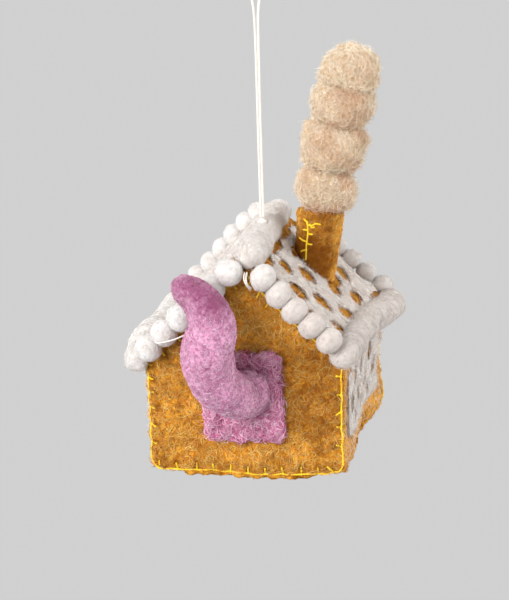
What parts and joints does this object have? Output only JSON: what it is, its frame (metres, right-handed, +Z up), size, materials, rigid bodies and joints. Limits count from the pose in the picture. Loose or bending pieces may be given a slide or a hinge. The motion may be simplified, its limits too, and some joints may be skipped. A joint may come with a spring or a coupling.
{
  "type": "felt hanging ornament",
  "caption": "Stuffed felt gingerbread house with wool beads, nets and a smoking chimney, a curled limb at its door, on a doubled twine loop.",
  "frame": {"origin": "top inside of the twine's eye, the point that a hook or twig holds", "axes": "+Z up along the hanging twine, -Y out of the front wall, +X to the viewer's right of the front wall"},
  "size_m": [0.0832, 0.1087, 0.1761],
  "materials": {
    "ochre_felt": "matte",
    "white_net_wool": "matte",
    "white_roll_wool": "matte",
    "white_bead_felt": "matte",
    "plume_wool": "matte",
    "yellow_thread": "satin",
    "patch_wool": "matte",
    "limb_wool": "matte",
    "stuffing_fibre": "matte",
    "cotton_twine": "matte"
  },
  "bodies": {
    "twine": {"hanging_loop": "cotton_twine"},
    "knot": {"hanger_knot": "cotton_twine"},
    "stitch": {"anchor_stitch": "cotton_twine"},
    "house": {"front_panel": "ochre_felt", "back_panel": "ochre_felt", "left_wall": "ochre_felt", "right_wall": "ochre_felt", "floor_panel": "ochre_felt", "left_roof_panel": "ochre_felt", "right_roof_panel": "ochre_felt", "chimney_tube": "ochre_felt", "left_roof_net": "white_net_wool", "right_roof_net": "white_net_wool", "left_wall_net": "white_net_wool", "right_wall_net": "white_net_wool", "ridge_roll": "white_roll_wool", "left_eave_roll": "white_roll_wool", "right_eave_roll": "white_roll_wool", "front_left_bead_1": "white_bead_felt", "front_left_bead_2": "white_bead_felt", "front_left_bead_3": "white_bead_felt", "front_left_bead_4": "white_bead_felt", "front_left_bead_5": "white_bead_felt", "front_left_bead_6": "white_bead_felt", "front_right_bead_1": "white_bead_felt", "front_right_bead_2": "white_bead_felt", "front_right_bead_3": "white_bead_felt", "front_right_bead_4": "white_bead_felt", "front_right_bead_5": "white_bead_felt", "back_left_bead_1": "white_bead_felt", "back_left_bead_2": "white_bead_felt", "back_left_bead_3": "white_bead_felt", "back_left_bead_4": "white_bead_felt", "back_left_bead_5": "white_bead_felt", "back_left_bead_6": "white_bead_felt", "back_right_bead_1": "white_bead_felt", "back_right_bead_2": "white_bead_felt", "back_right_bead_3": "white_bead_felt", "back_right_bead_4": "white_bead_felt", "back_right_bead_5": "white_bead_felt", "back_right_bead_6": "white_bead_felt", "smoke_puff_1": "plume_wool", "smoke_puff_2": "plume_wool", "smoke_puff_3": "plume_wool", "smoke_puff_4": "plume_wool", "front_blanket_stitch": "yellow_thread", "back_blanket_stitch": "yellow_thread", "chimney_seam_stitch": "yellow_thread", "door_patch": "patch_wool", "limb": "limb_wool", "stuffing": "stuffing_fibre"}
  },
  "joints": [
    {"name": "spin", "type": "hinge", "parent": "twine", "child": "knot", "pos_m": [0, 0, -0.092], "axis": [0, 0, 1], "range_deg": [-180, 180]},
    {"name": "swing_side", "type": "hinge", "parent": "knot", "child": "stitch", "pos_m": [0, 0, -0.092], "axis": [0, 1, 0], "range_deg": [-16, 25]},
    {"name": "swing_front", "type": "hinge", "parent": "stitch", "child": "house", "pos_m": [0, 0, -0.092], "axis": [1, 0, 0], "range_deg": [-25, 25]}
  ]
}
